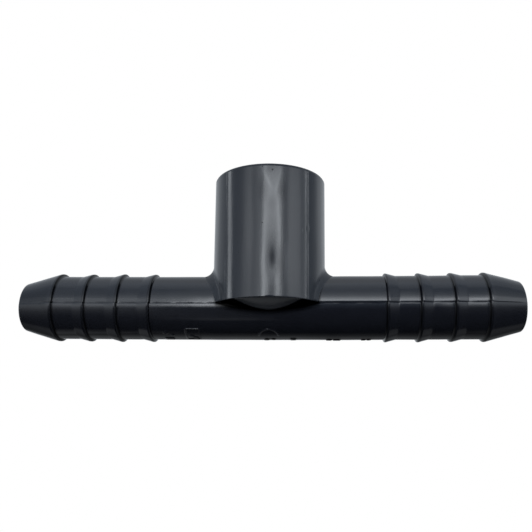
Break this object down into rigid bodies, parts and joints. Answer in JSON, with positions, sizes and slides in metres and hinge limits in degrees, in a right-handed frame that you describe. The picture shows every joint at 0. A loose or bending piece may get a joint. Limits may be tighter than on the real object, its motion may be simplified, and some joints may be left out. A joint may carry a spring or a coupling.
{
  "type": "barbed tee connector",
  "caption": "Rigid PVC insert tee for irrigation hose: a barbed hose tail on each end of the run and an upright outlet hub with a female taper pipe thread.",
  "frame": {"origin": "where the run's axis meets the outlet's axis, in the middle of the straight bore", "axes": "+X along the run towards the right-hand hose tail, +Z along the outlet and out of its mouth, -Y is the front"},
  "size_m": [0.1234, 0.0282, 0.0416],
  "materials": {
    "pvc_body": "semi-gloss moulded rigid PVC, charcoal grey"
  },
  "bodies": {
    "root": {"left_hose_barb": "pvc_body", "run_tube": "pvc_body", "outlet_hub": "pvc_body", "right_hose_barb": "pvc_body"}
  },
  "joints": []
}
